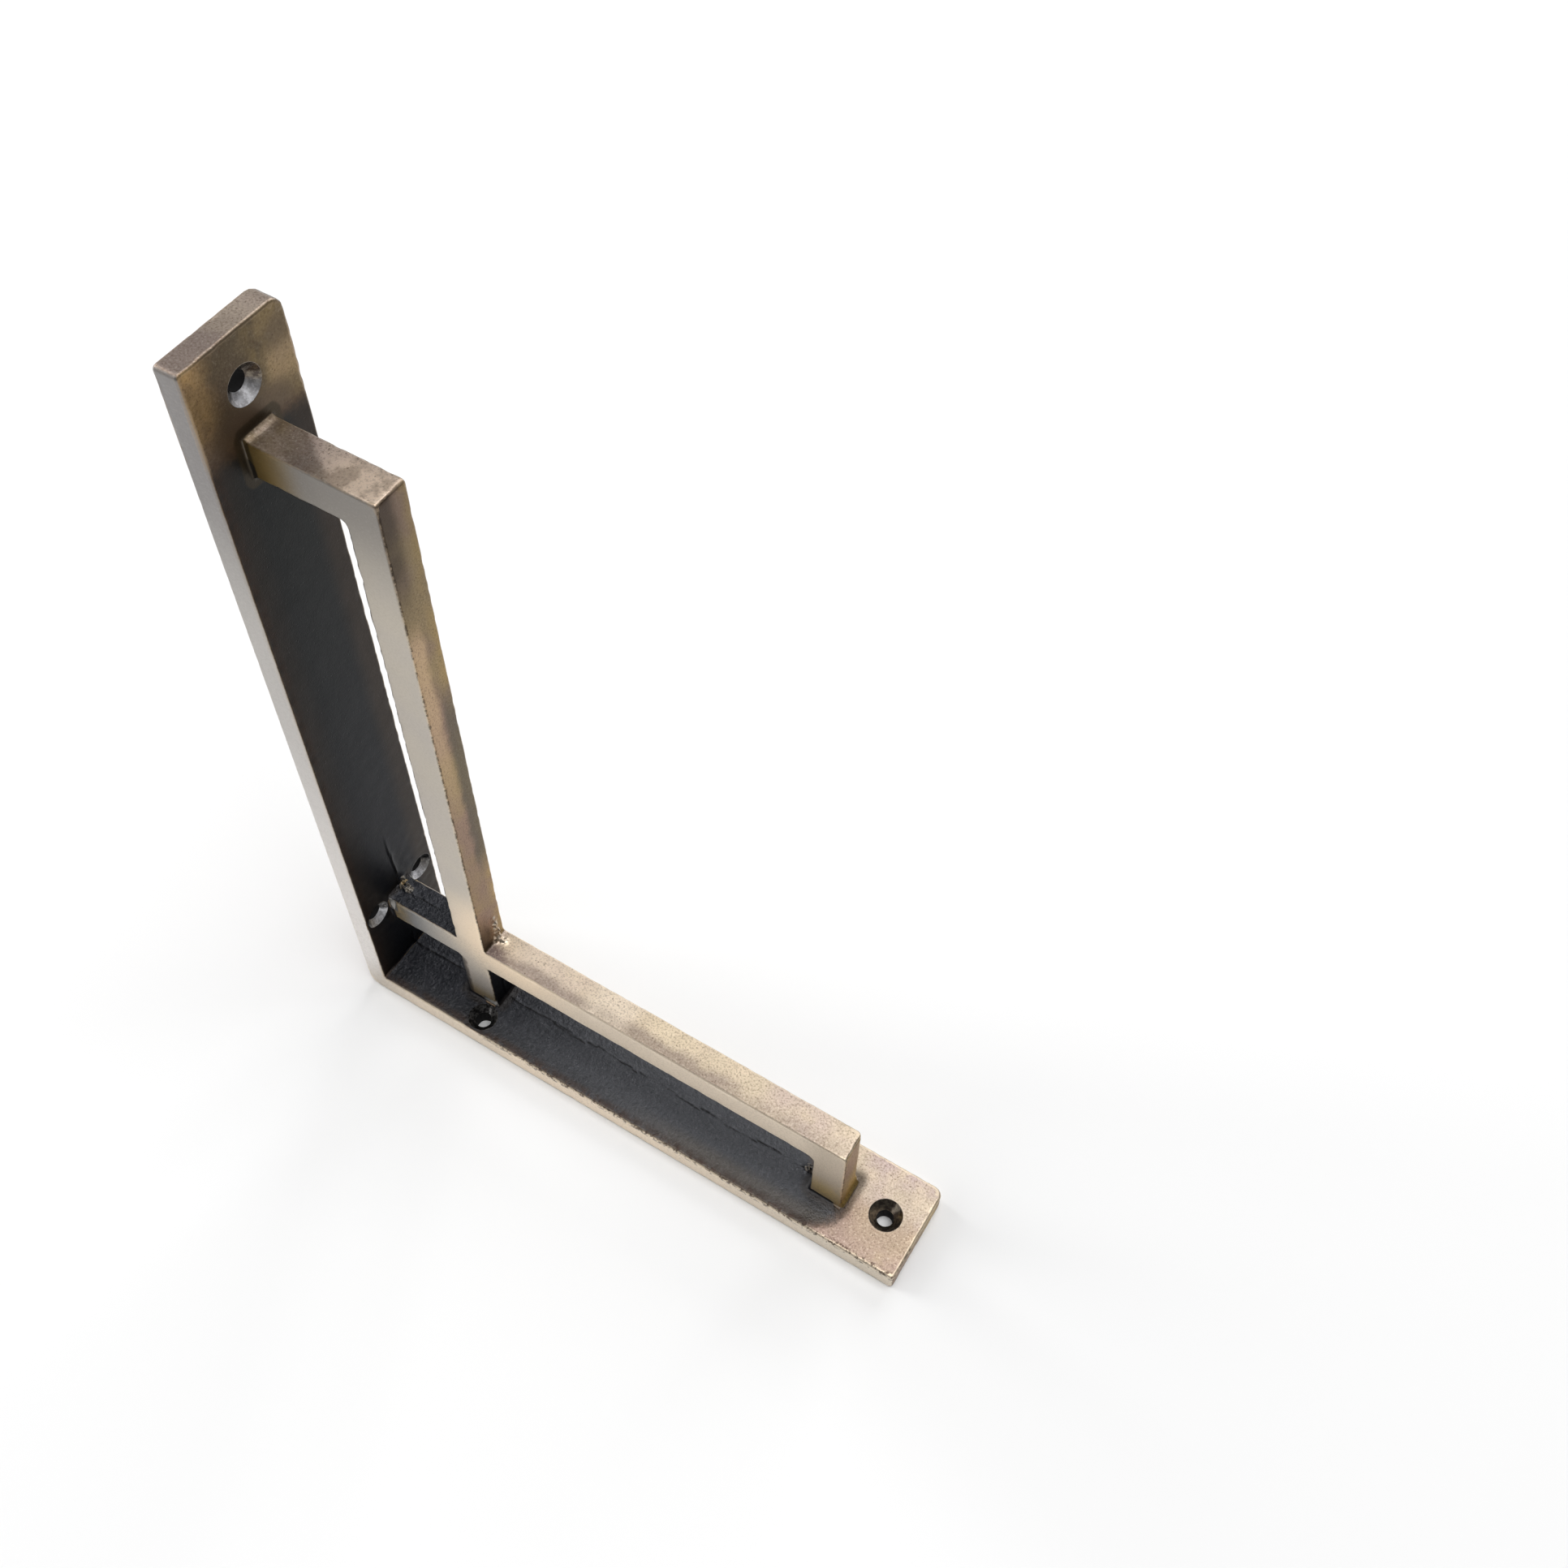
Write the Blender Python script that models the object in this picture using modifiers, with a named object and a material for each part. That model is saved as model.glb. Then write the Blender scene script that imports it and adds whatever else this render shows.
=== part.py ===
"""Fret-pattern shelf bracket: one metal sand casting, standing on its shorter strap with the longer strap upright.

Two flat screw straps meet in an L. Inside the L runs an open fret of square bars, which cross near the corner
and turn back to the straps at their far ends. Six countersunk screw holes go through the straps.
Metres, +Z up. X runs from the long strap's outer face along the short strap, and Y across the straps.
"""

import math

import bmesh
import bpy
from mathutils import Matrix, Vector

MM = 0.001

# The two straps of the L
STRAP_WIDTH = 25.0 * MM
PLATE_LENGTH = 203.2 * MM
PLATE_THICKNESS = 5.4 * MM
ARM_LENGTH = 152.4 * MM
ARM_THICKNESS = 5.8 * MM
HEEL_RADIUS = 3.0 * MM
CROOK_RADIUS = 1.0 * MM
PLATE_TIP_RADII = {"front": 1.0 * MM, "back": 3.2 * MM}
ARM_TIP_RADII = {"front": 0.9 * MM, "back": 2.2 * MM}

# The fret of square bars inside the L
BAR_WIDTH = 8.3 * MM
BAR_DEPTH = 8.0 * MM
UPRIGHT_BAR_X = 25.9 * MM
LEVEL_BAR_Z = 24.6 * MM
TOP_RETURN_Z = 182.8 * MM
END_RETURN_X = 133.5 * MM
RETURN_FILLET = 1.8 * MM
CROSSING_FILLET = 0.9 * MM
RETURN_CORNER = 0.9 * MM
ROOT_FLARE = 0.9 * MM
ROOT_DEPTH = 2.5 * MM

# Softened edges of the casting
STRAP_EDGE = 0.55 * MM
BAR_EDGE = 0.5 * MM

# Countersunk holes for a No. 8 wood screw
BORE_DIAMETER = 4.0 * MM
END_SINK_DIAMETER = 8.0 * MM
PAIR_SINK_DIAMETER = 7.1 * MM
SINK_CUTTER_DIAMETER = 9.6 * MM
SINK_CUTTER_REACH = 2.4 * MM
PAIR_HALF_SPACING = 8.1 * MM
PLATE_PAIR_Z = 31.0 * MM
PLATE_END_HOLE_Z = 192.4 * MM
ARM_PAIR_X = 33.0 * MM
ARM_END_HOLE_X = 143.5 * MM

ARC_STEP = math.radians(22.5)
CORNER_STEPS = 4
EDGE_STEPS = 2
SHARP_CORNER = math.radians(40)
FLAT_JOIN = math.radians(1)
HOLE_SIDES = 32
WELD_DISTANCE = 0.001 * MM
CENTRE_X = ARM_LENGTH / 2


def clear_scene():
    for found in list(bpy.data.objects):
        bpy.data.objects.remove(found, do_unlink=True)


def new_collection(name):
    collection = bpy.data.collections.new(name)
    bpy.context.scene.collection.children.link(collection)
    return collection


def patina_material():
    material = bpy.data.materials.new("antique_brass_patina")
    material.use_nodes = True
    shader = material.node_tree.nodes["Principled BSDF"]
    shader.inputs["Base Color"].default_value = (0.30, 0.23, 0.15, 1.0)
    shader.inputs["Metallic"].default_value = 0.8
    shader.inputs["Roughness"].default_value = 0.5
    return material


def rounded_outline(corners):
    """The points of a closed outline whose corners, each (x, z, radius), are turned into arcs."""
    points = []
    for index, (x, z, radius) in enumerate(corners):
        corner = Vector((x, z))
        before = (Vector(corners[index - 1][:2]) - corner).normalized()
        after = (Vector(corners[(index + 1) % len(corners)][:2]) - corner).normalized()
        if radius == 0:
            points.append(corner)
            continue
        half_angle = before.angle(after) / 2
        centre = corner + (before + after).normalized() * (radius / math.sin(half_angle))
        start = corner + before * (radius / math.tan(half_angle)) - centre
        turn = 2 * (math.pi / 2 - half_angle)
        if start.x * before.y - start.y * before.x > 0:
            turn = -turn
        steps = max(2, round(abs(turn) / ARC_STEP))
        for step in range(steps + 1):
            points.append(centre + Matrix.Rotation(turn * step / steps, 2) @ start)
    return points


def plate_from_outline(name, corners, depth, collection):
    """A flat outline in the XZ plane, filled and given half its depth to each side of Y = 0."""
    curve = bpy.data.curves.new(name, "CURVE")
    curve.dimensions = "2D"
    curve.fill_mode = "BOTH"
    curve.extrude = depth / 2
    points = rounded_outline(corners)
    spline = curve.splines.new("POLY")
    spline.points.add(len(points) - 1)
    for point, (x, z) in zip(spline.points, points):
        point.co = (x - CENTRE_X, z, 0.0, 1.0)
    spline.use_cyclic_u = True
    outline = bpy.data.objects.new(name + "_outline", curve)
    outline.matrix_world = Matrix.Rotation(math.pi / 2, 4, "X")
    collection.objects.link(outline)
    bpy.context.view_layer.update()

    graph = bpy.context.evaluated_depsgraph_get()
    mesh = bpy.data.meshes.new_from_object(outline.evaluated_get(graph))
    mesh.name = name
    mesh.transform(outline.matrix_world)
    bpy.data.objects.remove(outline, do_unlink=True)

    welded = bmesh.new()
    welded.from_mesh(mesh)
    bmesh.ops.remove_doubles(welded, verts=welded.verts, dist=WELD_DISTANCE)
    bmesh.ops.recalc_face_normals(welded, faces=welded.faces)
    bmesh.ops.dissolve_limit(welded, angle_limit=FLAT_JOIN, verts=welded.verts, edges=welded.edges)
    welded.to_mesh(mesh)
    welded.free()

    solid = bpy.data.objects.new(name, mesh)
    collection.objects.link(solid)
    return solid


def strap_corners():
    return [
        (0, 0, HEEL_RADIUS),
        (ARM_LENGTH, 0, 0),
        (ARM_LENGTH, ARM_THICKNESS, 0),
        (PLATE_THICKNESS, ARM_THICKNESS, CROOK_RADIUS),
        (PLATE_THICKNESS, PLATE_LENGTH, 0),
        (0, PLATE_LENGTH, 0),
    ]


def flared_root(along, inner, first, second, upright):
    """The outline where a bar enters a strap: a small fillet on each side, and a foot sunk into the strap.

    along gives the way in: the depth reached in the strap, then inner, the strap's face. first and second
    are the bar's two sides in the order that the outline meets them.
    """
    spread = math.copysign(ROOT_FLARE, second - first)
    corners = [
        (first, inner + ROOT_FLARE, ROOT_FLARE * 2),
        (first - spread, inner, 0),
        (first - spread, along, 0),
        (second + spread, along, 0),
        (second + spread, inner, 0),
        (second, inner + ROOT_FLARE, ROOT_FLARE * 2),
    ]
    return [(a, b, radius) if upright else (b, a, radius) for a, b, radius in corners]


def fret_corners():
    """The fret's outline, from the foot on the short strap round by the long strap and back."""
    upright_out = UPRIGHT_BAR_X + BAR_WIDTH
    level_top = LEVEL_BAR_Z + BAR_WIDTH
    in_plate = PLATE_THICKNESS - ROOT_DEPTH
    in_arm = ARM_THICKNESS - ROOT_DEPTH
    return (
        flared_root(in_arm, ARM_THICKNESS, upright_out, UPRIGHT_BAR_X, True)
        + [(UPRIGHT_BAR_X, LEVEL_BAR_Z, CROSSING_FILLET)]
        + flared_root(in_plate, PLATE_THICKNESS, LEVEL_BAR_Z, level_top, False)
        + [
            (UPRIGHT_BAR_X, level_top, CROSSING_FILLET),
            (UPRIGHT_BAR_X, TOP_RETURN_Z - BAR_WIDTH, RETURN_FILLET),
        ]
        + flared_root(in_plate, PLATE_THICKNESS, TOP_RETURN_Z - BAR_WIDTH, TOP_RETURN_Z, False)
        + [
            (upright_out, TOP_RETURN_Z, RETURN_CORNER),
            (upright_out, level_top, CROSSING_FILLET),
            (END_RETURN_X, level_top, RETURN_CORNER),
        ]
        + flared_root(in_arm, ARM_THICKNESS, END_RETURN_X, END_RETURN_X - BAR_WIDTH, True)
        + [
            (END_RETURN_X - BAR_WIDTH, LEVEL_BAR_Z, RETURN_FILLET),
            (upright_out, LEVEL_BAR_Z, CROSSING_FILLET),
        ]
    )


def round_corners(solid, radius, is_corner):
    """Rounds the edges of a plain solid whose two ends both pass the test is_corner."""
    shape = bmesh.new()
    shape.from_mesh(solid.data)
    bmesh.ops.bevel(
        shape,
        geom=[edge for edge in shape.edges if all(is_corner(vert.co) for vert in edge.verts)],
        offset=radius,
        segments=CORNER_STEPS,
        profile=0.5,
        affect="EDGES",
        material=-1,
    )
    shape.to_mesh(solid.data)
    shape.free()


def round_strap_tips(straps):
    """Rounds the corners of each strap's free end, as seen square on to the strap: more at the back."""
    plate_tip = PLATE_LENGTH - MM
    arm_tip = ARM_LENGTH - CENTRE_X - MM
    for side, sign in (("front", -1), ("back", 1)):
        round_corners(straps, PLATE_TIP_RADII[side], lambda at: at.z > plate_tip and at.y * sign > 0)
        round_corners(straps, ARM_TIP_RADII[side], lambda at: at.x > arm_tip and at.y * sign > 0)


def soften_edges(solid, width):
    bevel = solid.modifiers.new("softened_edges", "BEVEL")
    bevel.width = width
    bevel.segments = EDGE_STEPS
    bevel.limit_method = "ANGLE"
    bevel.angle_limit = SHARP_CORNER
    bevel.miter_outer = "MITER_ARC"


def drill(name, position, outward, sink_diameter, collection):
    """A countersunk drill: its bore runs back through the strap and its wide end stands proud of the face."""
    sink = sink_diameter / 2
    bore = BORE_DIAMETER / 2
    cutter = SINK_CUTTER_DIAMETER / 2
    profile = [
        (0, SINK_CUTTER_REACH),
        (cutter, SINK_CUTTER_REACH),
        (cutter, cutter - sink),
        (bore, bore - sink),
        (bore, -2 * ARM_THICKNESS),
        (0, -2 * ARM_THICKNESS),
    ]
    shape = bmesh.new()
    verts = [shape.verts.new((radius, 0, height)) for radius, height in profile]
    edges = [shape.edges.new(pair) for pair in zip(verts, verts[1:])]
    bmesh.ops.spin(
        shape,
        geom=verts + edges,
        cent=(0, 0, 0),
        axis=(0, 0, 1),
        angle=2 * math.pi,
        steps=HOLE_SIDES,
        use_merge=True,
        use_duplicate=False,
    )
    bmesh.ops.remove_doubles(shape, verts=shape.verts, dist=WELD_DISTANCE)
    bmesh.ops.recalc_face_normals(shape, faces=shape.faces)
    mesh = bpy.data.meshes.new(name)
    shape.to_mesh(mesh)
    shape.free()
    tool = bpy.data.objects.new(name, mesh)
    tool.matrix_world = Matrix.Translation(position) @ outward.to_track_quat("Z", "Y").to_matrix().to_4x4()
    tool.hide_render = True
    tool.display_type = "WIRE"
    collection.objects.link(tool)
    return tool


def drills(collection):
    """The six holes: a pair beside each stub near the corner, and one past each return."""
    plate_x = PLATE_THICKNESS - CENTRE_X
    plate_places = [
        (plate_x, -PAIR_HALF_SPACING, PLATE_PAIR_Z),
        (plate_x, PAIR_HALF_SPACING, PLATE_PAIR_Z),
        (plate_x, 0, PLATE_END_HOLE_Z),
    ]
    arm_places = [
        (ARM_PAIR_X - CENTRE_X, -PAIR_HALF_SPACING, ARM_THICKNESS),
        (ARM_PAIR_X - CENTRE_X, PAIR_HALF_SPACING, ARM_THICKNESS),
        (ARM_END_HOLE_X - CENTRE_X, 0, ARM_THICKNESS),
    ]
    sinks = (PAIR_SINK_DIAMETER, PAIR_SINK_DIAMETER, END_SINK_DIAMETER)
    tools = []
    for strap, places, outward in (
        ("plate", plate_places, Vector((1, 0, 0))),
        ("arm", arm_places, Vector((0, 0, 1))),
    ):
        for number, (place, sink) in enumerate(zip(places, sinks), 1):
            tools.append(drill(f"{strap}_drill_{number}", place, outward, sink, collection))
    return tools


def boolean(solid, other, operation):
    modifier = solid.modifiers.new(f"{operation.lower()}_{other.name}", "BOOLEAN")
    modifier.operation = operation
    modifier.solver = "EXACT"
    modifier.object = other


def build():
    clear_scene()
    bracket = new_collection("shelf_bracket")
    cutters = new_collection("cutters")

    casting = plate_from_outline("bracket_casting", strap_corners(), STRAP_WIDTH, bracket)
    round_strap_tips(casting)
    soften_edges(casting, STRAP_EDGE)

    fret = plate_from_outline("fret_bars", fret_corners(), BAR_DEPTH, cutters)
    fret.hide_render = True
    fret.display_type = "WIRE"
    soften_edges(fret, BAR_EDGE)
    boolean(casting, fret, "UNION")
    for tool in drills(cutters):
        boolean(casting, tool, "DIFFERENCE")

    casting.data.materials.append(patina_material())
    casting.data.shade_smooth()
    casting.data.set_sharp_from_angle(angle=math.radians(30))


build()
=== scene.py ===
import math

import bmesh
import bpy
import numpy as np
from mathutils import Matrix, Vector, noise
from mathutils.kdtree import KDTree


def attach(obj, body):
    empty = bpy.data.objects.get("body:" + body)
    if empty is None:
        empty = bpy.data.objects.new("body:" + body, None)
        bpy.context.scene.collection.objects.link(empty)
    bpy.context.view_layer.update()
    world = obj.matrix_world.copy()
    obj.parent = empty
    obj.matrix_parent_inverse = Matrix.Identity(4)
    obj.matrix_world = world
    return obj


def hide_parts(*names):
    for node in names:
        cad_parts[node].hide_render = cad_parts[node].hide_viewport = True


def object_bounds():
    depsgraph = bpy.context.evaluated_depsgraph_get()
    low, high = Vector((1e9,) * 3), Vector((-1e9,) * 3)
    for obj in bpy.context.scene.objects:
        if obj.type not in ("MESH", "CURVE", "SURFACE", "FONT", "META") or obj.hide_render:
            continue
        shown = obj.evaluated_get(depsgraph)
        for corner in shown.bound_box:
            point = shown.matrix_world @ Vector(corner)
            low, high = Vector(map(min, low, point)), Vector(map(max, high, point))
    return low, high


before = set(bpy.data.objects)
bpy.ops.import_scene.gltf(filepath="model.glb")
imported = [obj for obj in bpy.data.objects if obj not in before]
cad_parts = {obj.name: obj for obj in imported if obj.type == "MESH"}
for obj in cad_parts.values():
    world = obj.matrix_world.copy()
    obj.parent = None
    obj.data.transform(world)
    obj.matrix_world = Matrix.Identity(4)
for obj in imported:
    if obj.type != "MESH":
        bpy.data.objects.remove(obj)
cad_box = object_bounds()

# The bracket is one sand casting: two flat screw straps in an L, with an open fret of square bars between.
# It is poured whole in a two-part mould that opens at the middle of the straps' width, so the skin keeps the
# sand's grain, a wavering parting line, small fins where metal crept out, and lips at the bars' roots.

# Sizes in millimetres, from the straps' outer corner and from the middle of their width
MM = 0.001
ARM_LENGTH, STRAP_WIDTH, PLATE_LENGTH = (round((high - low) / MM, 1) for low, high in zip(*cad_box))
PLATE_THICKNESS = 5.4
ARM_THICKNESS = 5.8
BAR_WIDTH = 8.3
BAR_DEPTH = 8.0
UPRIGHT_BAR_X = 25.9
LEVEL_BAR_Z = 24.6
TOP_RETURN_Z = 182.8
END_RETURN_X = 133.5
PAIR_HALF_SPACING = 8.1
PLATE_PAIR_Z = 31.0
PLATE_END_HOLE_Z = 192.4
ARM_PAIR_X = 33.0
ARM_END_HOLE_X = 143.5
PAIR_SINK_RADIUS = 3.55
END_SINK_RADIUS = 4.0
BORE_RADIUS = 2.0
CUTTER_RADIUS = 4.8
CUTTER_REACH = 2.4

upright_out = UPRIGHT_BAR_X + BAR_WIDTH
level_top = LEVEL_BAR_Z + BAR_WIDTH
return_inner_x = END_RETURN_X - BAR_WIDTH
return_under_z = TOP_RETURN_Z - BAR_WIDTH
half_width = STRAP_WIDTH / 2
half_depth = BAR_DEPTH / 2

# Each lump of metal left by the mould: its place, its height and its radius
LUMPS = (
    ((6.6, 1.0, 32.9), 1.3, 1.3),
    ((8.4, 0.6, 32.9), 0.7, 1.1),
    ((5.5, 1.7, 34.3), 0.8, 1.1),
    ((34.5, 1.0, 33.6), 1.5, 1.2),
    ((34.2, 1.2, 35.8), 1.0, 1.0),
    ((34.2, 1.0, 37.8), 0.8, 0.9),
    ((34.2, 1.2, 39.8), 0.7, 0.8),
    ((34.2, 1.1, 41.8), 0.4, 0.8),
    ((36.2, 1.2, 32.9), 0.5, 1.0),
    ((122.6, 0.5, 5.8), 1.5, 1.3),
    ((124.6, 0.5, 7.8), 1.1, 1.2),
)

# How finely the faces are cut up: all over, along the parting line, beside edges, at the roots and in lumps
GRID = 0.85
SEAM_GRID = 0.26
SEAM_BAND = 1.3
SHOULDER = 0.62
ROOT_STEPS = (0.25, 0.55, 0.95)
LUMP_CUTS = 2

# What counts as one point, as one plane, as lying on a cut and as too short an edge
SAME_POINT = 0.001
SAME_PLANE = math.radians(0.5)
CUT_SLACK = 0.0005
SHORTEST_EDGE = 0.06


def stations(breaks, spacing):
    """Cutting places from the first break to the last, evenly spaced between each two neighbours."""
    places = []
    for low, high in zip(breaks, breaks[1:]):
        count = max(1, math.ceil((high - low) / spacing))
        places += [low + (high - low) * step / count for step in range(count)]
    return places + [breaks[-1]]


def around(faces, last):
    """A break a shoulder's width to each side of every face, so that flat faces stay flat near edges."""
    breaks = sorted({face + side for face in faces for side in (-SHOULDER, SHOULDER)})
    return [place for place in breaks if 0 < place < last]


x_faces = (0, PLATE_THICKNESS, UPRIGHT_BAR_X, upright_out, return_inner_x, END_RETURN_X, ARM_LENGTH)
z_faces = (0, ARM_THICKNESS, LEVEL_BAR_Z, level_top, return_under_z, TOP_RETURN_Z, PLATE_LENGTH)
x_cuts = stations(around(x_faces, ARM_LENGTH), GRID) + [PLATE_THICKNESS + step for step in ROOT_STEPS]
z_cuts = stations(around(z_faces, PLATE_LENGTH), GRID) + [ARM_THICKNESS + step for step in ROOT_STEPS]
side_cuts = stations([SEAM_BAND, half_depth - SHOULDER, half_depth + SHOULDER, half_width - SHOULDER], GRID)
y_cuts = stations([-SEAM_BAND, SEAM_BAND], SEAM_GRID) + side_cuts[1:] + [-place for place in side_cuts[1:]]

shape = bmesh.new()
shape.from_mesh(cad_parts["bracket_casting"].data)
bmesh.ops.remove_doubles(shape, verts=shape.verts, dist=SAME_POINT * MM)
bmesh.ops.translate(shape, verts=shape.verts, vec=(ARM_LENGTH / 2 * MM, 0, 0))
bmesh.ops.scale(shape, verts=shape.verts, vec=(1 / MM, 1 / MM, 1 / MM))
bmesh.ops.dissolve_limit(shape, angle_limit=SAME_PLANE, verts=shape.verts, edges=shape.edges)
for axis, cuts in enumerate((x_cuts, y_cuts, z_cuts)):
    normal = Vector([float(axis == index) for index in range(3)])
    for cut in cuts:
        bmesh.ops.bisect_plane(
            shape,
            geom=shape.verts[:] + shape.edges[:] + shape.faces[:],
            dist=CUT_SLACK,
            plane_co=normal * cut,
            plane_no=normal,
        )
bmesh.ops.remove_doubles(shape, verts=shape.verts, dist=SHORTEST_EDGE)
bmesh.ops.triangulate(shape, faces=[face for face in shape.faces if len(face.verts) > 4])
lump_rings = [(Vector(place), 2 * radius) for place, height, radius in LUMPS]
near_lumps = [
    edge for edge in shape.edges
    if any((vert.co - centre).length < reach for vert in edge.verts for centre, reach in lump_rings)
]
bmesh.ops.subdivide_edges(shape, edges=near_lumps, cuts=LUMP_CUTS, use_grid_fill=True)
bmesh.ops.triangulate(shape, faces=[face for face in shape.faces if len(face.verts) > 4])
shape.normal_update()
shape.verts.index_update()

points = np.array([vert.co for vert in shape.verts])
normals = np.array([vert.normal for vert in shape.verts])
x, y, z = points.T
outward, across, upward = normals.T
PATTERN_STEP = (17.3, 5.9, 11.7)


def field(size, pattern):
    """Smooth noise from -1 to 1 at each point, with lumps about size millimetres across."""
    shift = Vector([pattern * step for step in PATTERN_STEP])
    return np.array([noise.noise(Vector(point) / size + shift) for point in points])


def ease(value, low, high):
    """0 up to low, 1 from high on, and a smooth turn between them; low may be the greater."""
    part = np.clip((value - low) / (high - low), 0, 1)
    return part * part * (3 - 2 * part)


def distance_to(chosen, limit):
    """Each point's distance to the nearest of the chosen ones, up to the limit."""
    tree = KDTree(len(chosen))
    for place, index in enumerate(chosen):
        tree.insert(points[index], place)
    tree.balance()
    return np.array([min(tree.find(point)[2], limit) for point in points])


# How each point's neighbours turn away from it: above 0 on an edge, below 0 in a nook
EDGE_BEND = 0.25
HOLE_MARGIN = 0.1
bend = np.zeros(len(points))
for edge in shape.edges:
    low, high = (vert.index for vert in edge.verts)
    turn = float(np.dot(normals[high] - normals[low], points[high] - points[low]))
    bend[low] += turn
    bend[high] += turn
pair_off = np.abs(y) - PAIR_HALF_SPACING
from_plate_drill = np.minimum(np.hypot(pair_off, z - PLATE_PAIR_Z), np.hypot(y, z - PLATE_END_HOLE_Z))
from_arm_drill = np.minimum(np.hypot(pair_off, x - ARM_PAIR_X), np.hypot(y, x - ARM_END_HOLE_X))
drill_radius = CUTTER_RADIUS + HOLE_MARGIN
drill_reach = CUTTER_REACH + HOLE_MARGIN
in_plate_drill = (from_plate_drill < drill_radius) & (x < PLATE_THICKNESS + drill_reach)
in_arm_drill = (from_arm_drill < drill_radius) & (z < ARM_THICKNESS + drill_reach)
drilled = in_plate_drill | in_arm_drill
edge_distance = distance_to(np.flatnonzero((bend > EDGE_BEND) & ~drilled), limit=4.0)
nook_distance = distance_to(np.flatnonzero((bend < -EDGE_BEND) & ~drilled), limit=6.0)

# Where the blackening was left standing: the straps' inner faces, the bars' inner sides and the corner.
# On the arm's front half it ends by the end return's outer side, and about 10 mm sooner on the back half.
FLAT = 0.75
LEANING = 0.5
ARM_SOOT_END = 123
BAR_SOOT = 0.85
RETURN_SOOT = 0.75
FOOT_SOOT = 0.7
plate_face = (outward > FLAT) * (x < PLATE_THICKNESS + 2)
arm_face = (upward > FLAT) * (z < ARM_THICKNESS + 2.5)
plate_soot = plate_face * ease(z, TOP_RETURN_Z + 5, TOP_RETURN_Z - 7)
arm_end = ARM_SOOT_END + 11.5 * ease(y, 3, -3) - 4.5 * ease(y, -7.5, -12.5)
arm_soot = arm_face * ease(x, arm_end + 5, arm_end - 6)
behind_upright = BAR_SOOT * (outward < -LEANING) * (x > UPRIGHT_BAR_X - 1) * (x < upright_out)
under_level = BAR_SOOT * (upward < -LEANING) * (z > LEVEL_BAR_Z - 1) * (z < level_top)
in_end_return = RETURN_SOOT * (outward < -LEANING) * (x > return_inner_x - 1)
under_return = RETURN_SOOT * (upward < -LEANING) * (z > return_under_z - 1) * (z < TOP_RETURN_Z)
under_return *= x < UPRIGHT_BAR_X
in_corner = ((x < UPRIGHT_BAR_X) & (z < level_top + 1)) | ((z < LEVEL_BAR_Z) & (x < upright_out + 1))
above_straps = (x > PLATE_THICKNESS + 1) * (z > ARM_THICKNESS + 1)
stub_faces = 1.0 * (np.abs(across) < LEANING) * above_straps * in_corner
beside_foot = FOOT_SOOT * ease(x, UPRIGHT_BAR_X + 3.2, UPRIGHT_BAR_X) * (x > UPRIGHT_BAR_X - 1)
beside_foot *= ease(z, 27, 22) * (z > ARM_THICKNESS) * (np.abs(y) < half_depth + 1)
soot = np.maximum.reduce(
    [plate_soot, arm_soot, behind_upright, under_level, in_end_return, under_return, stub_faces, beside_foot]
)
# It also fills the lips at the roots
soot_near = distance_to(np.flatnonzero(soot > 0.9), limit=2.0)
soot = np.maximum(soot, ease(soot_near, 1.7, 0.9) * ease(nook_distance, 1.6, 1.1))

# Brown halos round the returns' roots, painted shade on the upright bar's outer face under the top return,
# and the gilt feet of the bars
FAR_OFF = 99
beside_root = np.maximum(np.abs(y) - 5, 0)
above_return = np.maximum(z - TOP_RETURN_Z - 1, 0)
past_return = np.maximum(x - END_RETURN_X - 0.5, 0)
plate_halo = plate_face * ease(np.hypot(beside_root, above_return), 9, 0.5)
arm_halo = 0.7 * arm_face * ease(np.hypot(beside_root, past_return), 3.2, 0.2)
# Painted shade on the upright bar's outer face under the top return, kept in the same zone as the brown
# halos
bar_painted_shade = 0.8 * (outward > LEANING) * (x > UPRIGHT_BAR_X) * (x < upright_out + 1)
bar_painted_shade = bar_painted_shade * ease(z, 144, 172) * ease(y, 2, -2)
back_corner = 0.5 * plate_face * ease(y, 3, 9) * ease(np.abs(z - 197), 6, 1)
halo_and_shade = np.maximum.reduce([plate_halo, arm_halo, bar_painted_shade, back_corner])
from_strap = np.where(
    z > level_top, x - PLATE_THICKNESS, np.where(x > upright_out, z - ARM_THICKNESS, FAR_OFF)
)
from_strap_in_corner = np.where(x < UPRIGHT_BAR_X, x - PLATE_THICKNESS, z - ARM_THICKNESS)
from_strap = np.where(in_corner, from_strap_in_corner * 1.6, from_strap)
gilt = (from_strap > 0.2) * (np.abs(y) < half_depth + 1.2) * ease(from_strap, 13, 2)

# The casting's skin, with heights in millimetres. The plate is smoother and has no parting line high up.
stepped = 0.45 * np.round(1.7 * field(8, 12))
seam = y - 0.4 * field(16, 6) - 0.3 * field(4.5, 7) - 0.15 * field(1.5, 8) - stepped
seam_strength = ease(field(7, 9), -0.4, 0.1) * ease(np.abs(across), 0.35, 0.1) * ease(soot, 0.5, 0.95)
seam_strength *= np.where(plate_face > 0, ease(z, 56, 44), 1)
ripple = (0.035 * field(4, 2) + 0.02 * field(1.9, 3)) * np.where(plate_face > 0, 0.5, 1)
undulation = 0.06 * field(13, 1) + ripple
crust = (0.1 * field(1.7, 10) + 0.07 * field(3.1, 13)) * soot
crust *= np.where(plate_face > 0, 0.1 + 0.9 * ease(z, 56, 30), 1)
worn = 0.12 * ease(field(2.4, 4) + 0.4 * field(1.1, 5), -0.1, 0.7) * ease(edge_distance, 0.7, 0.1)
fin = 0.3 * seam_strength * np.where(seam > 0, np.exp(-(seam / 0.7) ** 2), np.exp(-(seam / 0.08) ** 2))
knots = field(0.7, 11)
lump = np.zeros(len(points))
rise = undulation + crust + fin - worn
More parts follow.
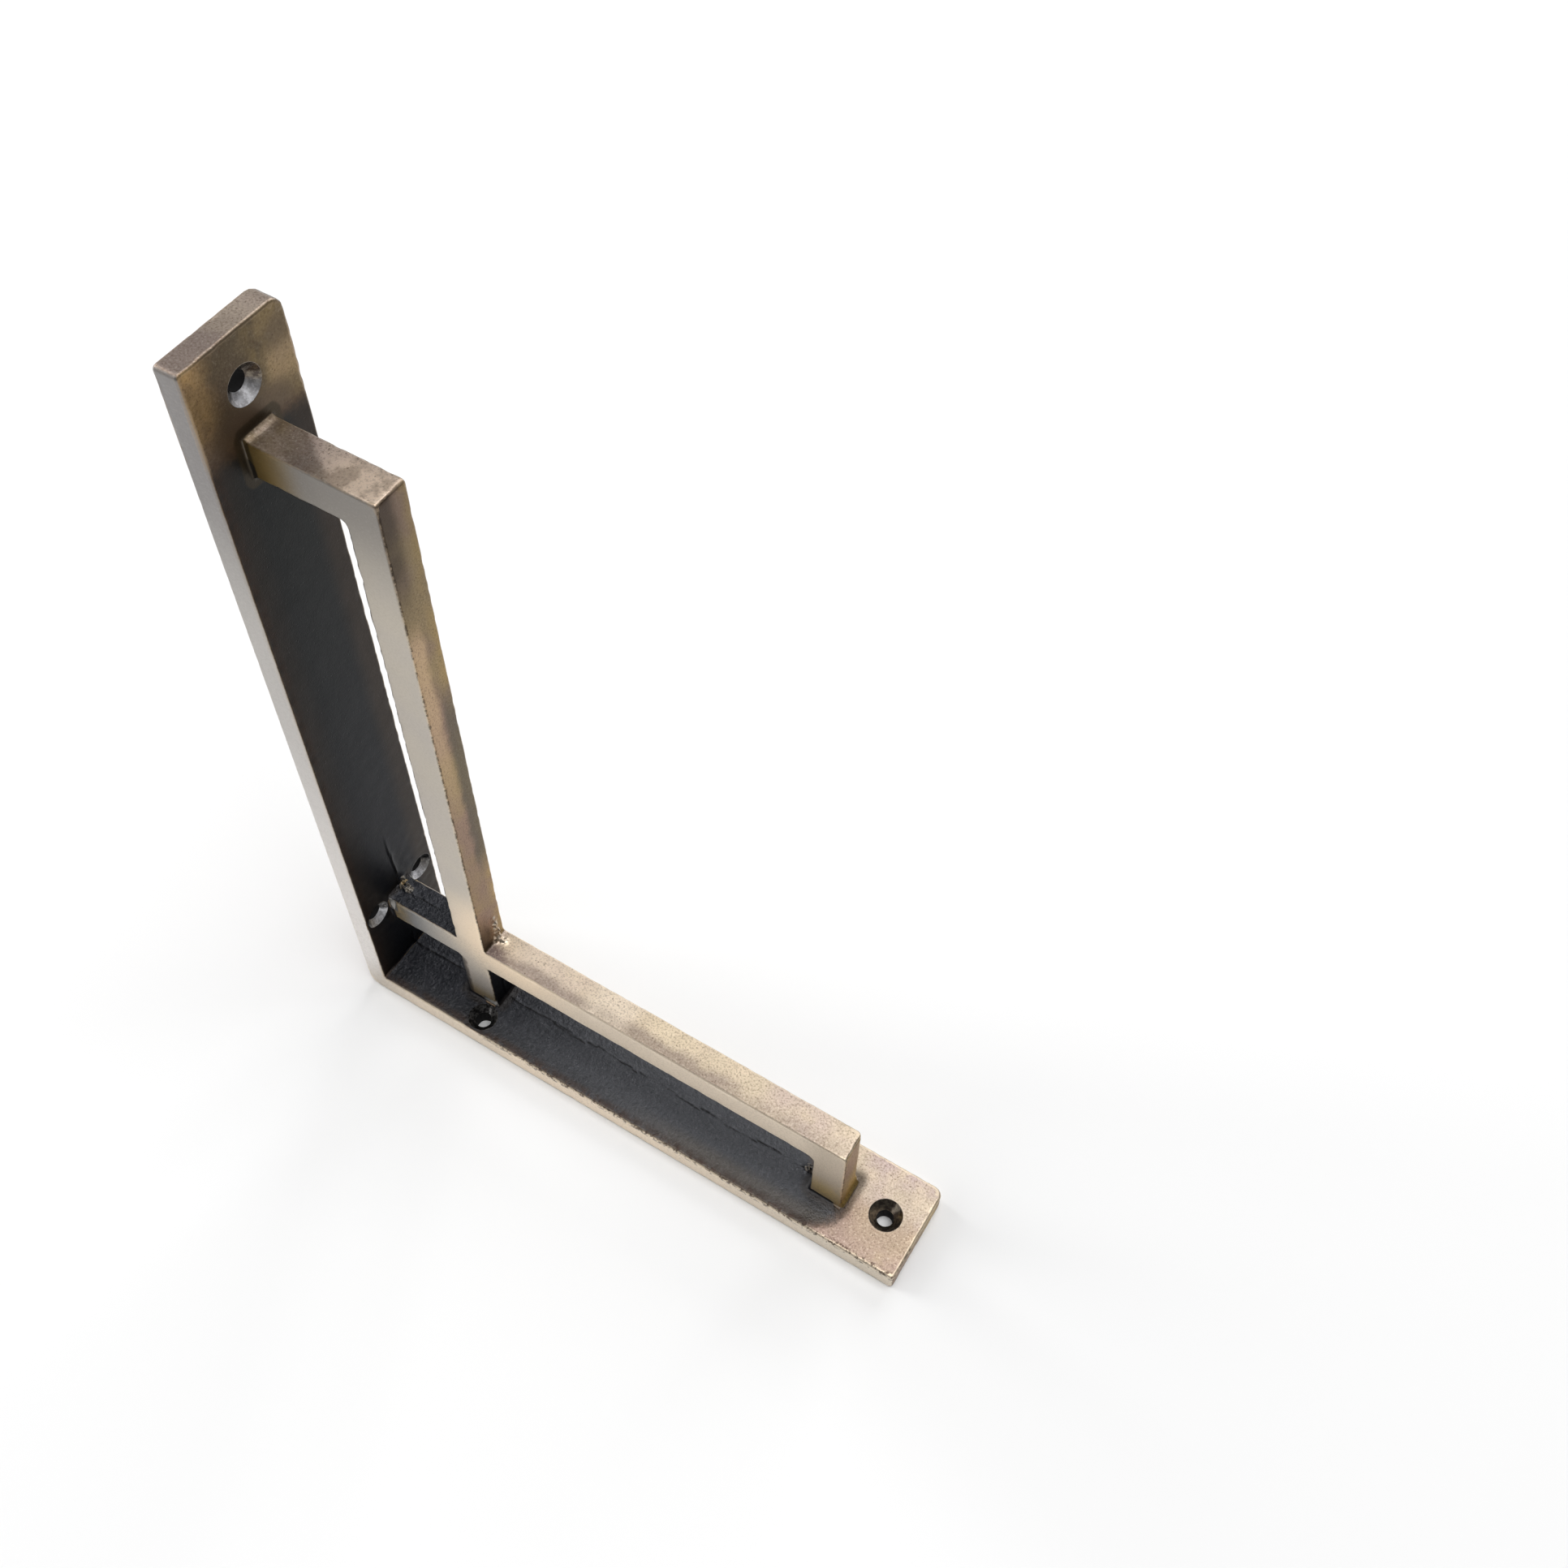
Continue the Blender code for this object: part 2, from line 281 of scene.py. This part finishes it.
for place, height, radius in LUMPS:
    dome = np.exp(-(np.linalg.norm(points - np.array(place), axis=1) / radius) ** 3)
    rise += height * dome * (0.75 + 0.9 * knots)
    lump = np.maximum(lump, dome)
# The flat outer faces only sink, so that they still lie on the wall and under the shelf
OUTER_DEPTH = 0.6
outer_faces = (x < OUTER_DEPTH) | (z < OUTER_DEPTH)
rise = np.where(outer_faces, -0.5 * np.abs(rise), rise)
rise = np.where(drilled, 0, rise)
points = points + normals * rise[:, None]

# The end return's back corner, rounded off by wear
WORN_CORNER = 2.0
CORNER_SPAN = 3
corner_x = points[:, 0] - (END_RETURN_X - WORN_CORNER)
corner_y = points[:, 1] - (half_depth - WORN_CORNER)
corner_reach = np.hypot(corner_x, corner_y)
past = (corner_x > 0) & (corner_y > 0) & (corner_reach > WORN_CORNER)
past &= (corner_x < CORNER_SPAN) & (corner_y < CORNER_SPAN) & (points[:, 2] > ARM_THICKNESS + CORNER_SPAN)
pull = WORN_CORNER / np.maximum(corner_reach, WORN_CORNER)
points[past, 0] = END_RETURN_X - WORN_CORNER + (corner_x * pull)[past]
points[past, 1] = half_depth - WORN_CORNER + (corner_y * pull)[past]

# All is shaded smooth but the countersinks' rims
RIM_ANGLE = math.radians(30)
for vert, place in zip(shape.verts, points):
    vert.co = Vector(place)
for edge in shape.edges:
    in_hole = all(drilled[vert.index] for vert in edge.verts)
    if in_hole and edge.calc_face_angle(0) > RIM_ANGLE:
        edge.smooth = False
for face in shape.faces:
    face.smooth = True
bmesh.ops.scale(shape, verts=shape.verts, vec=(MM, MM, MM))
bmesh.ops.translate(shape, verts=shape.verts, vec=(-ARM_LENGTH / 2 * MM, 0, 0))
casting_mesh = bpy.data.meshes.new("cast_bracket")
shape.to_mesh(casting_mesh)
shape.free()
zones = {
    "edge_distance": edge_distance,
    "nook_distance": nook_distance,
    "seam": np.abs(seam),
    "seam_strength": seam_strength,
    "soot": soot,
    "halo_and_shade": halo_and_shade,
    "gilt": gilt,
    "lump": lump,
}
for name, values in zones.items():
    attribute = casting_mesh.attributes.new(name, "FLOAT", "POINT")
    attribute.data.foreach_set("value", values.astype(np.float32))
casting = bpy.data.objects.new("cast_bracket", casting_mesh)
bpy.context.scene.collection.objects.link(casting)

# The patina, with painted light and shade in places: one finish over the whole casting, laid by place and by
# the zones painted on its mesh.
# A Mix node's colour sockets are found by number: its share, the two colours and the result.
MIX_SHARE, MIX_BELOW, MIX_ABOVE, MIX_RESULT = 0, 6, 7, 2
PATTERN_SHIFT = (7.1, 3.3, 9.7)
RELIEF_DEPTH = 0.045
patina = bpy.data.materials.new("antique_brass_patina")
patina.use_nodes = True
patina.node_tree.nodes.clear()


class Signal:
    """Wraps a socket of the patina, so that an expression such as 1 - mask * 0.5 adds its own Math nodes."""

    tree = patina.node_tree

    def __init__(self, socket):
        self.socket = socket

    @classmethod
    def node(cls, kind, settings=None, sockets=None, output=0):
        """Adds any other node: its settings first, then the values or links of its sockets."""
        node = cls.tree.nodes.new("ShaderNode" + kind)
        for name, value in (settings or {}).items():
            setattr(node, name, value)
        for name, value in (sockets or {}).items():
            if isinstance(value, Signal):
                cls.tree.links.new(value.socket, node.inputs[name])
            else:
                node.inputs[name].default_value = value
        return cls(node.outputs[output]) if node.outputs else None

    @classmethod
    def math(cls, operation, first, second=0.0):
        return cls.node("Math", {"operation": operation}, {0: first, 1: second})

    def __add__(self, other):
        return self.math("ADD", self, other)

    def __sub__(self, other):
        return self.math("SUBTRACT", self, other)

    def __rsub__(self, other):
        return self.math("SUBTRACT", other, self)

    def __mul__(self, other):
        return self.math("MULTIPLY", self, other)

    __radd__ = __add__
    __rmul__ = __mul__

    def __neg__(self):
        return self.math("MULTIPLY", self, -1.0)

    def __abs__(self):
        return self.math("ABSOLUTE", self)

    def least(self, other):
        return self.math("MINIMUM", self, other)

    def most(self, other):
        return self.math("MAXIMUM", self, other)

    def between(self, low, high):
        """0 at low and 1 at high, with a smooth turn; low may be the greater."""
        sockets = {"Value": self, "From Min": low, "From Max": high}
        return self.node("MapRange", {"interpolation_type": "SMOOTHSTEP"}, sockets)

    def blend(self, below, above):
        """The colour below, covered by the colour above as far as this mask goes."""
        sockets = {MIX_SHARE: self, MIX_BELOW: below, MIX_ABOVE: above}
        return self.node("Mix", {"data_type": "RGBA"}, sockets, output=MIX_RESULT)


def coated(tone, *coats):
    """A tone with coats laid over it one after the other, each given as its mask and its colour."""
    for mask, colour in coats:
        tone = mask.blend(tone, colour)
    return tone


def paint(red, green, blue):
    """A colour as seen on screen, from 0 to 255 each, in the shader's linear numbers."""
    return tuple(((part / 255 + 0.055) / 1.055) ** 2.4 for part in (red, green, blue)) + (1.0,)


def along(vector, axis):
    """One of a vector's three numbers."""
    return Signal.node("SeparateXYZ", sockets={0: vector}, output=axis)


def zone(name):
    """One of the casting's own painted zones."""
    return Signal.node("Attribute", {"attribute_name": name}, output="Fac")


object_place = Signal.node("TexCoord", output="Object")
object_facing = Signal.node("TexCoord", output="Normal")
place_mm = Signal.node("VectorMath", {"operation": "SCALE"}, {0: object_place, "Scale": 1 / MM})
x_here = along(place_mm, "X") + ARM_LENGTH / 2
y_here = along(place_mm, "Y")
z_here = along(place_mm, "Z")
forward = -y_here
facing_out = along(object_facing, "X")
facing_side = abs(along(object_facing, "Y"))
facing_up = along(object_facing, "Z")


def moved(pattern):
    """The place in millimetres, moved so that each pattern has its own part of the noise."""
    shift = tuple(pattern * step for step in PATTERN_SHIFT)
    return Signal.node("VectorMath", {"operation": "ADD"}, {0: place_mm, 1: shift})


def lumps(size, pattern, detail=3.0, roughness=0.65):
    """Noise from 0 to 1, with lumps about size millimetres across."""
    sockets = {"Vector": moved(pattern), "Scale": 1 / size, "Detail": detail, "Roughness": roughness}
    return Signal.node("TexNoise", sockets=sockets)


def dots(spacing, pattern):
    """Distance from the nearest of many scattered points, in spacings."""
    return Signal.node("TexVoronoi", sockets={"Vector": moved(pattern), "Scale": 1 / spacing})


def apart(first, second):
    """Length of the step whose two parts are given."""
    step = Signal.node("CombineXYZ", sockets={"X": first, "Y": second})
    return Signal.node("VectorMath", {"operation": "LENGTH"}, {0: step}, output="Value")


# Patterns from the broadest to the finest, and the masks of the faces that look one way
broad = lumps(17, 1, detail=2, roughness=0.5)
cloud = lumps(6, 2, roughness=0.6)
patch = lumps(2.4, 8)
crumb = lumps(0.95, 14)
grain = lumps(0.46, 3)
grit = lumps(0.24, 9, detail=1, roughness=0.5)
waver = cloud - 0.5
crumble = crumb - 0.5
side_mask = facing_side.between(0.35, 0.8)
rough_mask = 1 - side_mask
up_mask = facing_up.between(0.4, 0.85)
out_mask = facing_out.between(0.35, 0.8)
on_plate = (PLATE_THICKNESS + 1 - x_here).between(0, 0.5)
from_edge = zone("edge_distance")
from_nook = zone("nook_distance")
edge_ragged = from_edge + (lumps(1.2, 6) - 0.5) * 0.8

# The drilled holes: the cones and bores in the straps, and the bites of the bit into the bars' feet
SINK_MARGIN = 0.12
DRILL_MARGIN = 0.06
BORE_MARGIN = 0.1
SHARP = 0.06
BITE_START = 0.2
BITE_EDGE = 0.05
pair_gap = abs(y_here) - PAIR_HALF_SPACING
plate_pair = apart(pair_gap, z_here - PLATE_PAIR_Z)
plate_end = apart(y_here, z_here - PLATE_END_HOLE_Z)
arm_pair = apart(pair_gap, x_here - ARM_PAIR_X)
arm_end_hole = apart(y_here, x_here - ARM_END_HOLE_X)


def sunk(distance, radius, height, face):
    """The cone and bore of one hole, from the strap's face down."""
    inside = (radius + SINK_MARGIN - distance).between(0, SHARP)
    return inside * (face + DRILL_MARGIN - height).between(-0.02, 0.02)


def cut_above(distance, height, face):
    """What the countersink bit took off the bars' feet above the strap's face."""
    inside = (CUTTER_RADIUS + DRILL_MARGIN - distance).between(0, SHARP)
    over_face = (height - face - BITE_START).between(0, BITE_EDGE)
    under_reach = (face + CUTTER_REACH + BITE_EDGE - height).between(0, BITE_EDGE)
    return inside * over_face * under_reach


plate_pair_sunk = sunk(plate_pair, PAIR_SINK_RADIUS, x_here, PLATE_THICKNESS)
arm_pair_sunk = sunk(arm_pair, PAIR_SINK_RADIUS, z_here, ARM_THICKNESS)
plate_end_sunk = sunk(plate_end, END_SINK_RADIUS, x_here, PLATE_THICKNESS)
arm_end_sunk = sunk(arm_end_hole, END_SINK_RADIUS, z_here, ARM_THICKNESS)
drilled_pairs = plate_pair_sunk.most(arm_pair_sunk)
drilled_ends = plate_end_sunk.most(arm_end_sunk)
drilled_metal = drilled_pairs.most(drilled_ends)
bitten = cut_above(plate_pair, x_here, PLATE_THICKNESS).most(cut_above(arm_pair, z_here, ARM_THICKNESS))
nearest_axis = plate_pair.least(plate_end) * on_plate + arm_pair.least(arm_end_hole) * (1 - on_plate)
# The bores, painted near-black as the shade inside the holes, and made rough and not metallic
bores = (BORE_RADIUS + BORE_MARGIN - nearest_axis).between(0, SHARP)
# Where the cones look up; there they are painted near-white, a painted reflection of the light above
upturned = facing_up.between(0.15, 0.6) * z_here.between(8, 12)
# Lighter patches in the cones: painted highlights standing for the turned metal's streaky reflections
turned_highlights = lumps(0.9, 10, detail=2, roughness=0.7).between(0.4, 0.65)

# Faces that look up: pale bronze on the level bar, with a painted dark reflection towards its front, browner
# high up
level_start = z_here.between(20, 24)
on_level = level_start * z_here.between(60, 50) * x_here.between(34, 37)
pale_start = (x_here - UPRIGHT_BAR_X).between(48, 12) * (z_here - LEVEL_BAR_Z).between(0, 6)
pale_start = pale_start * z_here.between(60, 55) * x_here.between(36, 44)
pale_band = on_level * abs(x_here - 68).between(9, 3)
# Painted reflection: a purple-grey band darkens the faces that look up towards their front, most on the
# level bar
level_front_reflection = (forward + waver * 5).between(-0.5, 2.6) * level_start
front_reflection_cover = (0.33 + 0.27 * x_here.between(108, 98)) * (1 - pale_band * 0.45) + 0.3 * x_here.between(43, 37)
arm_tip = z_here.between(9, 7) * (forward + waver * 9).between(-4, 3)
near_top = z_here.between(150, 176)
on_return = near_top * z_here.between(192, 186)
return_front = on_return * x_here.between(16, 26) * (forward + waver * 3).between(-6, -1)
across_return = x_here + y_here * 1.5 + waver * 4
return_dark = on_return * across_return.between(6, 11) * across_return.between(20.5, 17)
plate_top = z_here.between(188, 203) * (0.42 - 0.21 * y_here.between(2, 6))
top_tone = coated(
    paint(189, 170, 165),
    (broad.between(0.36, 0.64), paint(197, 182, 161)),
    (cloud.between(0.45, 0.75), paint(209, 192, 171)),
    (on_level * (0.55 - 0.35 * x_here.between(80, 120)), paint(240, 222, 192)),
    (pale_start * 0.7, paint(240, 223, 205)),
    (pale_band * 0.5, paint(250, 236, 215)),
    # painted reflection, darker towards the front
    (level_front_reflection * front_reflection_cover, paint(126, 110, 108)),
    (arm_tip * 0.5, paint(150, 124, 100)),
    (near_top * 0.45, paint(222, 206, 194)),
    (return_front * 0.8, paint(250, 228, 205)),
    (return_dark * 0.6, paint(70, 62, 52)),
    (plate_top, paint(112, 98, 90)),
)

# Faces that look to the side: smooth and silvery, warmer along the arm, with painted shade making them
# darker and greyer up the plate and the bars
on_arm = z_here.between(7, 5)
crossing_glow = apart(x_here - 42, z_here - 40).between(24, 8) * z_here.between(12, 18)
level_stub_reflection = x_here.between(28, 8) * z_here.between(18, 24) * z_here.between(60, 50) * (1 - on_plate)
end_return_foot = x_here.between(120, 128) * z_here.between(7, 9)
upright_middle = z_here.between(50, 110) * z_here.between(178, 150)
# The plate's side faces: painted light and shade, lighter low down and darker and greyer high up
plate_side = coated(
    paint(186, 183, 180),
    (z_here.between(140, 0), paint(236, 232, 229)),
    (z_here.between(132, 182), paint(145, 142, 141)),
)
side_tone = coated(
    paint(200, 192, 182),
    (broad.between(0.3, 0.7), paint(206, 197, 182)),
    (x_here.between(36, 48) * 0.9, paint(233, 218, 198)),
    (on_arm * x_here.between(-2, 18) * 0.7, paint(242, 227, 206)),
    (on_arm * x_here.between(75, 140) * 0.4, paint(186, 182, 172)),
    (crossing_glow, paint(252, 232, 205)),
    # painted grey-blue reflection on the side faces of the level bar's stub
    (level_stub_reflection * 0.9, paint(129, 134, 141)),
    # painted shade: darker and greyer high up
    (z_here.between(147, 181), paint(141, 136, 130)),
    (end_return_foot * 0.5, paint(176, 163, 146)),
    (upright_middle * 0.3, paint(164, 158, 150)),
    (on_plate * (z_here - x_here).between(-3, 14) * 0.85, plate_side),
)

# Faces that look outward: brown bronze with golden patches, darker at the back of the upright bar
on_upright = x_here.between(26, 28) * x_here.between(42, 38)
y_ragged = y_here + waver * 3
front_half = y_ragged.between(0.5, -1.5)
upright_back = on_upright * y_ragged.between(-0.5, 1.5) * z_here.between(58, 72) * z_here.between(134, 118)
upright_front = on_upright * front_half * z_here.between(74, 130) * z_here.between(152, 143)
upright_foot = on_upright * front_half * z_here.between(48, 38)
hole_side = on_plate * y_here.between(4, 7) * abs(z_here - 191).between(6, 2)
brown_middle = (abs(y_here + 2) + waver * 12).between(9.5, 3.5)
brown_plate = on_plate * (1 - hole_side * 0.8) * (0.25 + 0.44 * brown_middle)
golden = on_plate * (y_here + waver * 9).between(-5, -11) * (cloud.between(0.35, 0.6) * 0.45 + 0.4)
golden = golden * z_here.between(182, 196)
out_tone = coated(
    paint(154, 128, 110),
    (broad.between(0.38, 0.62), paint(164, 142, 104)),
    (y_here.between(0.5, 3.6) * cloud.between(0.3, 0.6) * 0.7, paint(184, 156, 100)),
    (z_here.between(100, 182) * 0.5, paint(80, 74, 64)),
    (upright_back * 0.8, paint(92, 86, 74)),
    (upright_front * 0.7, paint(203, 174, 139)),
    (upright_foot * 0.7, paint(70, 52, 40)),
    (hole_side * 0.5, paint(168, 144, 112)),
    (brown_plate, paint(58, 49, 40)),
    (golden, paint(186, 154, 104)),
)

# The gilt feet of the bars, brighter at the end return and duller high up
end_return = x_here.between(70, 110)
up_the_bar = z_here.between(60, 150)
gilding = zone("gilt") * (0.35 + 0.65 * cloud.between(0.25, 0.6))
gilding = gilding.most(zone("gilt") * side_mask * up_the_bar)
gilt_tone = coated(
    paint(160, 138, 92),
    (out_mask, end_return.blend(paint(200, 172, 118), paint(220, 190, 118))),
    (side_mask, end_return.blend(paint(204, 182, 140), paint(237, 210, 151))),
    (up_the_bar, side_mask.blend(paint(130, 114, 90), paint(164, 137, 83))),
)

# Speckle with painted glints, and the brown halos with the painted shade under the top return
high_up = z_here.between(150, 184) * up_mask
low_down = z_here.between(36, 33)
brown_spots = high_up * cloud.between(0.5, 0.62) * z_here.between(196, 188)
fine = grain.between(0.46, 0.7) * (rough_mask * 0.6 + 0.15 + 0.25 * low_down)
fine = fine * (0.5 + high_up * 0.3 - pale_start * 0.16 - return_front * 0.3)
# Painted glints: pale specks on the grain, more on faces that look up
painted_glints = grain.between(0.44, 0.3) * (up_mask * 0.5 + 0.14 + 0.2 * low_down)
pepper = (dots(0.95, 4) + (grit - 0.5) * 0.3).between(0.26, 0.1) * patch.between(0.4, 0.6)
halo_and_shade_mask = (zone("halo_and_shade") * (1 + waver * 0.9)).between(0, 0.9)

# The blackening: bluish and crumbly on the arm, smoother and browner along the plate's edges
soot_mask = (zone("soot") + (waver * 0.3 + crumble * 0.6) * 0.7).between(0.2, 0.85)
fringe = soot_mask * (1 - soot_mask) * 4
plate_edges = y_here.between(5, 10).most(forward.between(4, 11) * 0.7) * (0.5 + cloud)
plate_char = coated(
    paint(18, 20, 26),
    (z_here.between(40, 170), paint(24, 26, 23)),
    (plate_edges, paint(52, 42, 32)),
)
soot_front = forward.between(6, 9.5) * up_mask
front_rim = from_edge.between(2.6, 0.7) * forward.between(4, 8) * (0.3 + 0.7 * patch.between(0.35, 0.6))
char = coated(
    paint(38, 40, 46),
    (cloud.between(0.3, 0.7), paint(50, 51, 57)),
    (x_here.between(22, 72) * up_mask * 0.8, paint(82, 83, 87)),
    (out_mask * 0.8, plate_char),
    (crumb.between(0.54, 0.72) * up_mask * 0.32, paint(108, 108, 112)),
    (crumb.between(0.46, 0.32) * up_mask * 0.32, paint(34, 34, 37)),
    (soot_front * x_here.between(90, 60) * 0.35, paint(36, 36, 36)),
    (soot_front * x_here.between(70, 100) * 0.4, paint(98, 88, 74)),
    (front_rim * 0.7, paint(56, 40, 30)),
)

# Dark nooks and rubbed edges, chips along the arm's front edge, a broken dark line along the front edges of
# the faces that look outward, the parting line, and painted glints on the lumps
nook = from_nook.between(1.8, 0.2)
# Painted shade: the top return's root is darkened to dim the highlight along its flare
top_root = from_nook.between(1.5, 0.9) * z_here.between(150, 160) * (1 - up_mask)
plate_kept = on_plate * z_here.between(186, 180) * z_here.between(6, 12)
rubbed = edge_ragged.between(0.26, 0.02) * (1 - soot_mask * 0.85) * (1 - side_mask * 0.4)
rubbed = rubbed * from_nook.between(0.9, 2.2) * z_here.between(204, 194).most(0.35) * (1 - plate_kept * 0.75)
chipped = forward.between(10.6, 11.6) * x_here.between(20, 50) * z_here.between(3.5, 4.6)
chipped = chipped * z_here.between(8, 6.5) * crumb.between(0.5, 0.58) * from_edge.between(1.3, 0.2)
bar_line = facing_out.between(0.5, 0.8) * x_here.between(33, 33.5) * forward.between(3, 3.5)
bar_line = bar_line * edge_ragged.between(0.6, 0.35) * crumb.between(0.42, 0.54) * patch.between(0.38, 0.5)
seam_line = (zone("seam") + crumble * 0.25).between(0.26, 0.05) * zone("seam_strength")
burr = zone("lump").between(0.25, 0.7)
# Painted glints: light spots on the lumps' crests
burr_glints = burr * lumps(0.8, 12, detail=2, roughness=0.6).between(0.4, 0.6)

# All coats in their order, from the faces' own tones to the drilled holes
tone = coated(
    top_tone,
    (out_mask, out_tone),
    (side_mask, side_tone),
    (gilding, gilt_tone),
    (brown_spots * 0.4, paint(92, 74, 60)),
    (fine, out_mask.blend(paint(104, 84, 68), paint(66, 50, 38))),
    # painted glints
    (painted_glints * 0.4, paint(240, 228, 208)),
    (pepper * (rough_mask * 0.55 + 0.05), paint(90, 68, 52)),
    # the brown halos, and painted shade under the top return
    (halo_and_shade_mask * 0.82, on_plate.blend(paint(60, 50, 42), paint(96, 82, 68))),
    (fringe * 0.55, paint(92, 70, 54)),
    (soot_mask, char),
    (nook * (0.4 - side_mask * 0.25), paint(62, 54, 46)),
    # painted shade at the top return's root
    (top_root * 0.7, paint(60, 52, 38)),
    (rubbed * 0.6, z_here.between(120, 180).blend(paint(232, 216, 190), paint(176, 156, 132))),
    (chipped * 0.75, paint(66, 46, 36)),
    (bar_line * 0.65, paint(44, 36, 30)),
    (seam_line * 0.9, paint(14, 13, 14)),
    (burr_glints * 0.7, paint(178, 168, 154)),
    # The cones: bare metal with painted highlights
    (drilled_ends, turned_highlights.blend(paint(82, 74, 68), paint(128, 119, 106))),
    (drilled_pairs, turned_highlights.blend(paint(46, 45, 45), paint(124, 122, 120))),
    # painted reflection: the upturned parts of the cones near-white
    (drilled_metal * upturned * (0.6 + 0.4 * turned_highlights), paint(232, 232, 236)),
    (bitten, paint(148, 146, 142)),
    # painted shade: the bores near-black
    (bores, paint(12, 11, 11)),
)

# The blackening is less metallic than the bronze, the turned cones are smoother, and the grain stands up
roughness = 0.46 - soot_mask * up_mask * 0.1 + (grain - 0.5) * 0.14 + rough_mask * 0.03 - burr * 0.14
roughness = roughness * (1 - drilled_metal) + drilled_metal * (0.24 + 0.24 * upturned) + bores * 0.7
metallic = (0.92 - soot_mask * (0.1 + 0.4 * up_mask) * (1 - drilled_metal)) * (1 - bores)
relief = grain * 0.7 + grit * 0.35 - pepper * 0.5 + soot_mask * up_mask * (crumb * 10 + patch * 5)
relief_share = (rough_mask * 0.7 + 0.16) * (1 - drilled_metal)
bump = Signal.node(
    "Bump",
    sockets={"Strength": relief_share, "Distance": RELIEF_DEPTH * MM, "Height": relief},
)
shader = Signal.node(
    "BsdfPrincipled",
    sockets={"Base Color": tone, "Roughness": roughness, "Metallic": metallic, "Normal": bump},
)
Signal.node("OutputMaterial", sockets={"Surface": shader})
casting_mesh.materials.append(patina)
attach(casting, "root")
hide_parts("bracket_casting")

# The bracket stands on a plain sweep of white paper, under broad soft lights hung well away from it.
# Most of the light comes from overhead and from the left, and a little from behind and from the front.
FLOOR_SIZE = 6.0
PAPER_WHITE = 0.9
PAPER_ROUGHNESS = 0.9
SKY_STRENGTH = 0.1
BRACKET_MIDDLE = (0, 0, 0.08)

# Each soft light: its name, its place and its width in metres, and its power in watts
SOFTBOXES = (
    ("overhead", (0.45, 0.1, 2.5), 1.8, 46),
    ("left", (-2.5, -0.2, 1.4), 1.6, 44),
    ("back", (-0.2, 2.4, 1.4), 1.6, 24),
    ("front_left", (-1.5, -1.9, 1.4), 1.6, 8),
)

floor_shape = bmesh.new()
bmesh.ops.create_grid(floor_shape, x_segments=1, y_segments=1, size=FLOOR_SIZE / 2)
floor_mesh = bpy.data.meshes.new("floor")
floor_shape.to_mesh(floor_mesh)
floor_shape.free()
floor = bpy.data.objects.new("floor", floor_mesh)
bpy.context.scene.collection.objects.link(floor)
paper = bpy.data.materials.new("white_paper")
paper.use_nodes = True
paper_shader = paper.node_tree.nodes["Principled BSDF"]
paper_shader.inputs["Base Color"].default_value = (PAPER_WHITE, PAPER_WHITE, PAPER_WHITE, 1)
paper_shader.inputs["Roughness"].default_value = PAPER_ROUGHNESS
floor_mesh.materials.append(paper)

for name, place, width, power in SOFTBOXES:
    light = bpy.data.lights.new(name, "AREA")
    light.shape = "SQUARE"
    light.size = width
    light.energy = power
    lamp = bpy.data.objects.new(name, light)
    lamp.location = place
    lamp.rotation_euler = (Vector(BRACKET_MIDDLE) - Vector(place)).to_track_quat("-Z", "Y").to_euler()
    bpy.context.scene.collection.objects.link(lamp)
world = bpy.data.worlds.new("studio")
world.use_nodes = True
sky = world.node_tree.nodes["Background"]
sky.inputs["Color"].default_value = (1, 1, 1, 1)
sky.inputs["Strength"].default_value = SKY_STRENGTH
bpy.context.scene.world = world
bpy.context.scene.view_settings.view_transform = "Standard"

# The camera looks down at the standing bracket from the front right, as in the photograph
EYE = (0.11535, -0.14261, 0.39083)
LOOK = (-0.28044, 0.49998, -0.81937)
RIGHT = (0.85489, 0.51826, 0.02364)
LENS = 39.393
FILM_WIDTH = 36.0
look = Vector(LOOK).normalized()
right = (Vector(RIGHT) - look * look.dot(Vector(RIGHT))).normalized()
up = right.cross(look)
camera_data = bpy.data.cameras.new("camera")
camera_data.lens = LENS
camera_data.sensor_width = FILM_WIDTH
camera = bpy.data.objects.new("camera", camera_data)
camera.matrix_world = Matrix.Translation(EYE) @ Matrix((right, up, -look)).transposed().to_4x4()
bpy.context.scene.collection.objects.link(camera)
bpy.context.scene.camera = camera
